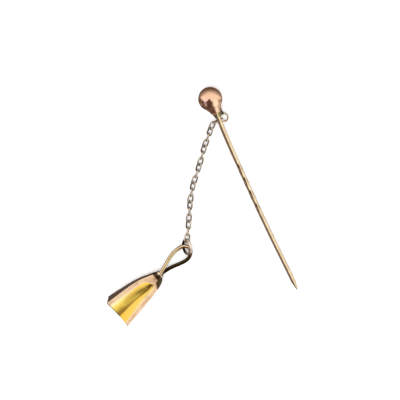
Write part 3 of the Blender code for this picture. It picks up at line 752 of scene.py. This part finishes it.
bpy.ops.object.select_all(action="DESELECT")
face_columns = 2 * (BAND_COLUMNS + DISH_COLUMNS)
ring_columns = 4 * face_columns
bpy.ops.mesh.primitive_circle_add(vertices=ring_columns, radius=MOUTH_HALF, fill_type="NOTHING")
body = named("drop_body")
bpy.ops.object.mode_set(mode="EDIT")
bpy.ops.mesh.select_all(action="SELECT")
for step in range(BODY_STEPS):
    bpy.ops.mesh.extrude_region_move(TRANSFORM_OT_translate={"value": (0, 0, BODY_LENGTH / BODY_STEPS)})
bpy.ops.mesh.edge_face_add()
bpy.ops.object.mode_set(mode="OBJECT")
marks = {"into_fold": [], "painted_shade": [], "crease_shaded": [], "slope_highlight": [], "ridge_highlight": []}
crease_shade_line = smooth_line([Vector(row) for row in CREASE_SHADE_ALONG], steps=120)
pale_lines = [smooth_line([Vector(row) for row in rows], steps=120)
              for rows in (PALE_LEFT_ALONG, PALE_RIGHT_ALONG)]
# The front face's first column lies an eighth of a turn before the ring's first point
for vertex in body.data.vertices:
    reach = vertex.co.z
    turned = math.atan2(vertex.co.y, vertex.co.x)
    number = round((turned / (2 * math.pi) + 1 / 8) * ring_columns) % ring_columns
    face, column = divmod(number, face_columns)
    spot, closeness, on_right = folded_place(reach, face, column)
    vertex.co = spot
    marks["into_fold"].append(closeness)
    # Painted shade round the collar, along the mouth's edge and over the flat sides
    rightward = min(1, math.sqrt(2) * max(0.0, math.sin(turned)))
    edge = COLLAR_SHADE_REACH - COLLAR_SHADE_SKEW * rightward ** SKEW_POWER
    at_collar = soft_step(edge, edge + COLLAR_SHADE_FADE, reach)
    at_mouth = MOUTH_SHADE[on_right] * (1 - soft_step(0, MOUTH_SHADE_WIDTH, reach))
    on_side = SIDE_SHADE if face % 2 and column > 0 else 0.0
    marks["painted_shade"].append(max(at_collar, at_mouth, on_side))
    # Painted shade along the crease and a painted highlight on the slopes beside it
    along = min(reach / FLUTE_LENGTH, 1)
    crease_shade_row = read_line(crease_shade_line, along)
    pale = PALE_RIGHT if on_right else PALE_LEFT
    crease_shade_start = crease_shade_row[3] if on_right else crease_shade_row[2]
    marks["crease_shaded"].append(max(0.0, crease_shade_row[1]) * soft_step(crease_shade_start, 1, closeness))
    marks["slope_highlight"].append(max(0.0, read_line(pale_lines[on_right], along)[1])
                          * (1 - soft_step(*pale, closeness)))
    # Painted highlight on the corners between faces and on the fold's edges
    beside_fold = column in (BAND_COLUMNS, face_columns - BAND_COLUMNS) and reach < FLUTE_LENGTH
    marks["ridge_highlight"].append(float(column == 0 or (beside_fold and face % 2 == 0)))
for attribute, amounts in marks.items():
    body.data.attributes.new(attribute, "FLOAT", "POINT").data.foreach_set("value", amounts)
pick(body)
bpy.ops.object.mode_set(mode="EDIT")
bpy.ops.mesh.select_all(action="SELECT")
bpy.ops.mesh.normals_make_consistent(inside=False)
bpy.ops.object.mode_set(mode="OBJECT")
wall = body.modifiers.new("sheet", "SOLIDIFY")
wall.thickness = SHEET
wall.offset = -1
wall.use_even_offset = True
bpy.ops.object.modifier_apply(modifier="sheet")
soften = body.modifiers.new("rubbed_edges", "BEVEL")
soften.width = EDGE_ROUNDING
soften.segments = EDGE_SEGMENTS
soften.limit_method = "ANGLE"
soften.angle_limit = EDGE_ANGLE
bpy.ops.object.modifier_apply(modifier="rubbed_edges")

drop_gold = gold_material("drop_gold", BAND_ROSE, BAND_WORN, mottle=0.5, polished=0.08, dulled=0.18,
                          scratch=(6, 6, 1.2), relief=0.2)
nodes = drop_gold.node_tree.nodes
links = drop_gold.node_tree.links
shader = nodes["Principled BSDF"]
fold_wear = wear_node(drop_gold, YELLOW_GOLD, YELLOW_WORN, mottle=0.7, polished=0.10, dulled=0.22,
                      scratch=(3, 3, 3))
depth_in = nodes.new("ShaderNodeAttribute")
depth_in.attribute_name = "into_fold"
gilded = nodes.new("ShaderNodeMapRange")
gilded.interpolation_type = "SMOOTHSTEP"
gilded.inputs["From Max"].default_value = GILDED_FULL
links.new(depth_in.outputs["Fac"], gilded.inputs["Value"])
fold_color = fold_wear.outputs["Color"]
# A painted highlight on the slopes, then painted shade along the crease
for attribute, tone in (("slope_highlight", YELLOW_HIGHLIGHT), ("crease_shaded", CREASE_SHADE)):
    fold_color = tone_over(drop_gold, fold_color, attribute, tone, start=0, full=1)
for output, socket in (("Color", "Base Color"), ("Roughness", "Roughness")):
    blend = nodes.new("ShaderNodeMix")
    blend.data_type = "RGBA" if output == "Color" else "FLOAT"
    links.new(gilded.outputs["Result"], blend.inputs["Factor"])
    links.new(nodes["wear"].outputs[output], blend.inputs["A"])
    links.new(fold_color if output == "Color" else fold_wear.outputs[output], blend.inputs["B"])
    links.new(blend.outputs["Result"], shader.inputs[socket])
# Painted highlight on the ridges
lay_tone(drop_gold, "ridge_highlight", RIDGE_HIGHLIGHT_ROSE, start=0.35, full=1)
# Painted shade round the collar, at the mouth and on the flat sides
lay_tone(drop_gold, "painted_shade", DROP_SHADE, start=0, full=1)
put(body, drop_place)
finish_piece(body, "drop", drop_gold, smooth_degrees=40)


# Collar: a turned disc of pale gold soldered on the closed end of the body, its rim softened by wear.
# The two ends of the bail's wire are let into it.
COLLAR_RADIUS = 1.15 * MM
COLLAR_HEIGHT = 0.36 * MM
COLLAR_ROOT = 0.5 * COLLAR_HEIGHT
COLLAR_EDGE = 0.08 * MM
COLLAR_GOLD = (0.93, 0.78, 0.56)
COLLAR_WORN = (0.72, 0.56, 0.36)

bpy.ops.object.select_all(action="DESELECT")
collar_middle = BODY_LENGTH + (COLLAR_HEIGHT - COLLAR_ROOT) / 2
bpy.ops.mesh.primitive_cylinder_add(vertices=64, radius=COLLAR_RADIUS,
                                    depth=COLLAR_HEIGHT + COLLAR_ROOT, location=(0, 0, collar_middle))
collar = named("collar")
bpy.ops.object.transform_apply(location=True, rotation=True, scale=True)
soften = collar.modifiers.new("rim", "BEVEL")
soften.width = COLLAR_EDGE
soften.segments = EDGE_SEGMENTS
soften.limit_method = "ANGLE"
bpy.ops.object.modifier_apply(modifier="rim")
collar_gold = gold_material("collar_gold", COLLAR_GOLD, COLLAR_WORN, mottle=1.2, polished=0.14,
                            dulled=0.3, scratch=(5, 5, 5), relief=0.4)
put(collar, drop_place)
finish_piece(collar, "drop", collar_gold, smooth_degrees=40)


# Bail: one length of thick round yellow gold wire bent to a long loop. It hooks through the jump ring,
# crosses over itself at the collar, and both its ends are soldered into the collar. Painted shade
# darkens all of it but a painted highlight strip along its upper side, and darkens all round the branch
# that passes under.
BAIL_LENGTH = 10.6 * MM
BAIL_HALF_WIDTH = 2.0 * MM
BAIL_WIRE = 1.02 * MM
BAIL_PLAY = 0.06 * MM
BAIL_STEPS = 112
# The bail's middle line as shares of its length, of its half width and of its lift at the collar
BAIL_LINE = ((-0.02, -0.06, 1.00), (0.17, -0.36, 0.95), (0.46, -0.86, 0.55), (0.64, -1.02, 0.30),
             (0.79, -0.98, 0.10), (0.92, -0.78, 0.00), (1.00, -0.20, 0.00), (0.97, 0.33, 0.00),
             (0.92, 0.60, 0.00), (0.83, 0.87, 0.00), (0.70, 0.90, -0.20), (0.54, 0.70, -0.45),
             (0.35, 0.39, -0.80), (0.16, 0.18, -1.00), (-0.02, 0.06, -1.00))
# Where along that line the painted shade of the dark branch starts and is full, and where on the wire,
# from -1 at its top to 1 at its bottom, the painted highlight strip ends and painted shade begins
DARK_BRANCH = (0.50, 0.56)
BRIGHT_STRIP_END = (-0.78, -0.50)
BAIL_GOLD = (0.98, 0.76, 0.46)
BAIL_WORN = (0.78, 0.52, 0.24)
# Painted shade below the wire's top strip and on the branch that passes under
BAIL_SHADE = (0.07, 0.045, 0.014)

lift = (BAIL_WIRE + BAIL_PLAY) / 2
bail_top = BODY_LENGTH + COLLAR_HEIGHT
bail_points = smooth_line([Vector((high * lift, aside * BAIL_HALF_WIDTH,
                                   bail_top + along * BAIL_LENGTH))
                           for along, aside, high in BAIL_LINE], BAIL_STEPS)
bail_curve = bpy.data.curves.new("bail", "CURVE")
bail_curve.dimensions = "3D"
bail_curve.bevel_depth = BAIL_WIRE / 2
bail_curve.bevel_resolution = 8
bail_curve.use_fill_caps = True
bail_spline = bail_curve.splines.new("POLY")
bail_spline.points.add(len(bail_points) - 1)
for target, point in zip(bail_spline.points, bail_points):
    target.co = (*point, 1)
bail = bpy.data.objects.new("bail", bail_curve)
bpy.context.scene.collection.objects.link(bail)
pick(bail)
bpy.ops.object.convert(target="MESH")
bail = named("bail")


def nearest_on_bail(place):
    """The number of the point on the bail's middle line that is nearest to a place."""
    return min(range(BAIL_STEPS + 1), key=lambda k: (bail_points[k] - place).length_squared)


# Painted shade on the branch that passes under, and below the wire's top strip
mark(bail, "painted_shade", lambda place: nearest_on_bail(place) / BAIL_STEPS)
mark(bail, "low", lambda place: (bail_points[nearest_on_bail(place)].x - place.x) / (BAIL_WIRE / 2))
bail_gold = gold_material("bail_gold", BAIL_GOLD, BAIL_WORN, mottle=0.7, polished=0.18, dulled=0.30,
                          scratch=(5, 5, 5), relief=0.4)
# Painted shade below a painted highlight strip along the top, then over the dark branch
lay_tone(bail_gold, "low", BAIL_SHADE, *BRIGHT_STRIP_END)
lay_tone(bail_gold, "painted_shade", BAIL_SHADE, *DARK_BRANCH)
put(bail, drop_place)
finish_piece(bail, "drop", bail_gold, smooth_degrees=60)


# Table: a plain sheet of pale paper with a faint fibre. The gold mirrors the painted room alone, so
# the sheet is kept out of its reflections.
TABLE_SIZE = 2.0
PAPER_FIBRE_SCALE = 900
PAPER_PALE = (0.93, 0.93, 0.93)
PAPER_PALER = (0.96, 0.96, 0.955)

bpy.ops.object.select_all(action="DESELECT")
bpy.ops.mesh.primitive_plane_add(size=TABLE_SIZE)
floor = named("table")
paper = bpy.data.materials.new("pale_paper")
paper.use_nodes = True
nodes = paper.node_tree.nodes
links = paper.node_tree.links
shader = nodes["Principled BSDF"]
shader.inputs["Roughness"].default_value = 0.9
shader.inputs["Specular IOR Level"].default_value = 0.1
where = nodes.new("ShaderNodeTexCoord")
fibre = nodes.new("ShaderNodeTexNoise")
fibre.inputs["Scale"].default_value = PAPER_FIBRE_SCALE
links.new(where.outputs["Object"], fibre.inputs["Vector"])
tone = nodes.new("ShaderNodeMix")
tone.data_type = "RGBA"
tone.inputs["A"].default_value = (*PAPER_PALE, 1)
tone.inputs["B"].default_value = (*PAPER_PALER, 1)
links.new(fibre.outputs["Fac"], tone.inputs["Factor"])
links.new(tone.outputs["Result"], shader.inputs["Base Color"])
floor.data.materials.append(paper)
floor.visible_glossy = False


# View and light: a long lens over the table, tipped as the photograph's was, under one broad soft
# lamp. The room that the gold mirrors is painted by direction: a bright ceiling and dark gaps.
VIEW_TILT = math.radians(18.4)
VIEW_HEADING = math.radians(67.2)
PIXEL = 0.27 * MM
FRAME_PIXELS = 400
LENS_DISTANCE = 4.0
SENSOR = 36
BALL_PIXEL = (210.2, 98.9)
LAMP_SIZE = 1.2
LAMP_POWER = 11
LAMP_PLACE = (0.1, 0.15, 1.2)
PLAIN_ROOM = (0.97, 0.97, 0.97)
PLAIN_STRENGTH = 1.05
ROOM_SHADE = (0.15, 0.11, 0.09)
# Patches of the room as a polished ball under the camera mirrors them, in shares of its radius to the
# right and up: centre, half size, where the edge starts and ends, and colour
ROOM_PATCHES = (
    ((0.03, 0.08), (1.08, 0.78), 0.30, 1.00, (1.08, 1.06, 1.02)),
    ((0.05, 0.08), (0.97, 0.33), 0.70, 1.00, (1.08, 1.06, 1.02)),
    ((-0.28, -0.72), (0.95, 0.64), 0.82, 1.00, ROOM_SHADE),
    ((0.66, -0.45), (0.34, 0.48), 0.60, 1.10, (0.60, 0.56, 0.52)),
    ((0.45, -0.34), (0.29, 0.48), 0.45, 1.08, (1.16, 1.28, 1.28)),
    ((-0.35, -0.50), (0.18, 0.18), 0.20, 1.10, (0.48, 0.50, 0.58)),
    ((-0.45, -0.27), (0.11, 0.16), 0.30, 1.10, (0.66, 0.70, 0.90)),
    ((-0.38, -0.12), (0.22, 0.13), 0.50, 1.10, (1.08, 1.12, 1.45)),
    ((0.77, -0.18), (0.13, 0.13), 0.40, 1.00, (0.42, 0.34, 0.30)),
    ((-0.63, -0.28), (0.10, 0.17), 0.50, 1.00, (0.09, 0.06, 0.055)),
    ((-0.88, -0.08), (0.20, 0.17), 0.60, 1.05, ROOM_SHADE),
    ((-0.73, -0.44), (0.12, 0.12), 0.30, 1.00, (0.42, 0.37, 0.36)),
    ((-0.08, -0.43), (0.20, 0.46), 0.75, 1.05, (0.10, 0.062, 0.055)),
)

view_back = Vector((math.sin(VIEW_TILT) * math.cos(VIEW_HEADING),
                    math.sin(VIEW_TILT) * math.sin(VIEW_HEADING), math.cos(VIEW_TILT)))
view_up = (Vector((0, 1, 0)) - view_back.y * view_back).normalized()
view_right = view_up.cross(view_back)
aim = (ball_centre + view_right * (FRAME_PIXELS / 2 - BALL_PIXEL[0]) * PIXEL
       - view_up * (FRAME_PIXELS / 2 - BALL_PIXEL[1]) * PIXEL)
camera_data = bpy.data.cameras.new("view")
camera_data.sensor_width = SENSOR
camera_data.lens = SENSOR * LENS_DISTANCE / (FRAME_PIXELS * PIXEL)
camera_data.clip_start = 0.05
camera_data.clip_end = 10 * LENS_DISTANCE
camera = bpy.data.objects.new("view", camera_data)
bpy.context.scene.collection.objects.link(camera)
turn = Matrix((view_right, view_up, view_back)).transposed().to_4x4()
camera.matrix_world = Matrix.Translation(aim + view_back * LENS_DISTANCE) @ turn
bpy.context.scene.camera = camera

lamp_data = bpy.data.lights.new("soft_lamp", "AREA")
lamp_data.shape = "DISK"
lamp_data.size = LAMP_SIZE
lamp_data.energy = LAMP_POWER
lamp = bpy.data.objects.new("soft_lamp", lamp_data)
bpy.context.scene.collection.objects.link(lamp)
lamp.matrix_world = Matrix.Translation(LAMP_PLACE)
lamp.visible_glossy = False
lamp.visible_camera = False


def soft_patch_group():
    """1 inside an oval patch of the room and 0 outside it, with a soft edge."""
    group = bpy.data.node_groups.new("soft_patch", "ShaderNodeTree")
    for label, kind in (("Where", "NodeSocketVector"), ("Centre", "NodeSocketVector"),
                        ("Size", "NodeSocketVector"), ("Inner", "NodeSocketFloat"),
                        ("Outer", "NodeSocketFloat")):
        group.interface.new_socket(label, in_out="INPUT", socket_type=kind)
    group.interface.new_socket("Mask", in_out="OUTPUT", socket_type="NodeSocketFloat")
    nodes = group.nodes
    links = group.links
    given = nodes.new("NodeGroupInput")
    result = nodes.new("NodeGroupOutput")
    offset = nodes.new("ShaderNodeVectorMath")
    offset.operation = "SUBTRACT"
    links.new(given.outputs["Where"], offset.inputs[0])
    links.new(given.outputs["Centre"], offset.inputs[1])
    shares = nodes.new("ShaderNodeVectorMath")
    shares.operation = "DIVIDE"
    links.new(offset.outputs[0], shares.inputs[0])
    links.new(given.outputs["Size"], shares.inputs[1])
    distance = nodes.new("ShaderNodeVectorMath")
    distance.operation = "LENGTH"
    links.new(shares.outputs[0], distance.inputs[0])
    edge = nodes.new("ShaderNodeMapRange")
    edge.interpolation_type = "SMOOTHSTEP"
    edge.inputs["To Min"].default_value = 1
    edge.inputs["To Max"].default_value = 0
    links.new(distance.outputs["Value"], edge.inputs["Value"])
    links.new(given.outputs["Inner"], edge.inputs["From Min"])
    links.new(given.outputs["Outer"], edge.inputs["From Max"])
    links.new(edge.outputs["Result"], result.inputs["Mask"])
    return group


soft_patch = soft_patch_group()
world = bpy.data.worlds.new("studio")
bpy.context.scene.world = world
world.use_nodes = True
nodes = world.node_tree.nodes
links = world.node_tree.links
nodes.clear()
direction = nodes.new("ShaderNodeTexCoord")
halfway = nodes.new("ShaderNodeVectorMath")
halfway.operation = "ADD"
halfway.inputs[1].default_value = view_back
links.new(direction.outputs["Generated"], halfway.inputs[0])
facing = nodes.new("ShaderNodeVectorMath")
facing.operation = "NORMALIZE"
links.new(halfway.outputs[0], facing.inputs[0])
spot = nodes.new("ShaderNodeCombineXYZ")
for axis, vector in (("X", view_right), ("Y", view_up)):
    share = nodes.new("ShaderNodeVectorMath")
    share.operation = "DOT_PRODUCT"
    share.inputs[1].default_value = vector
    links.new(facing.outputs[0], share.inputs[0])
    links.new(share.outputs["Value"], spot.inputs[axis])
room = nodes.new("ShaderNodeRGB")
room.outputs[0].default_value = (*ROOM_SHADE, 1)
room_color = room.outputs[0]
for centre, size, inner, outer, color in ROOM_PATCHES:
    patch = nodes.new("ShaderNodeGroup")
    patch.node_tree = soft_patch
    patch.inputs["Centre"].default_value = (*centre, 0)
    patch.inputs["Size"].default_value = (*size, 1)
    patch.inputs["Inner"].default_value = inner
    patch.inputs["Outer"].default_value = outer
    links.new(spot.outputs[0], patch.inputs["Where"])
    laid = nodes.new("ShaderNodeMix")
    laid.data_type = "RGBA"
    laid.inputs["B"].default_value = (*color, 1)
    links.new(patch.outputs["Mask"], laid.inputs["Factor"])
    links.new(room_color, laid.inputs["A"])
    room_color = laid.outputs["Result"]
mirrored = nodes.new("ShaderNodeBackground")
links.new(room_color, mirrored.inputs["Color"])
pale = nodes.new("ShaderNodeBackground")
pale.inputs["Color"].default_value = (*PLAIN_ROOM, 1)
pale.inputs["Strength"].default_value = PLAIN_STRENGTH
light_path = nodes.new("ShaderNodeLightPath")
either = nodes.new("ShaderNodeMixShader")
links.new(light_path.outputs["Is Glossy Ray"], either.inputs["Fac"])
links.new(pale.outputs[0], either.inputs[1])
links.new(mirrored.outputs[0], either.inputs[2])
surface = nodes.new("ShaderNodeOutputWorld")
links.new(either.outputs[0], surface.inputs["Surface"])
bpy.context.scene.view_settings.view_transform = "Standard"
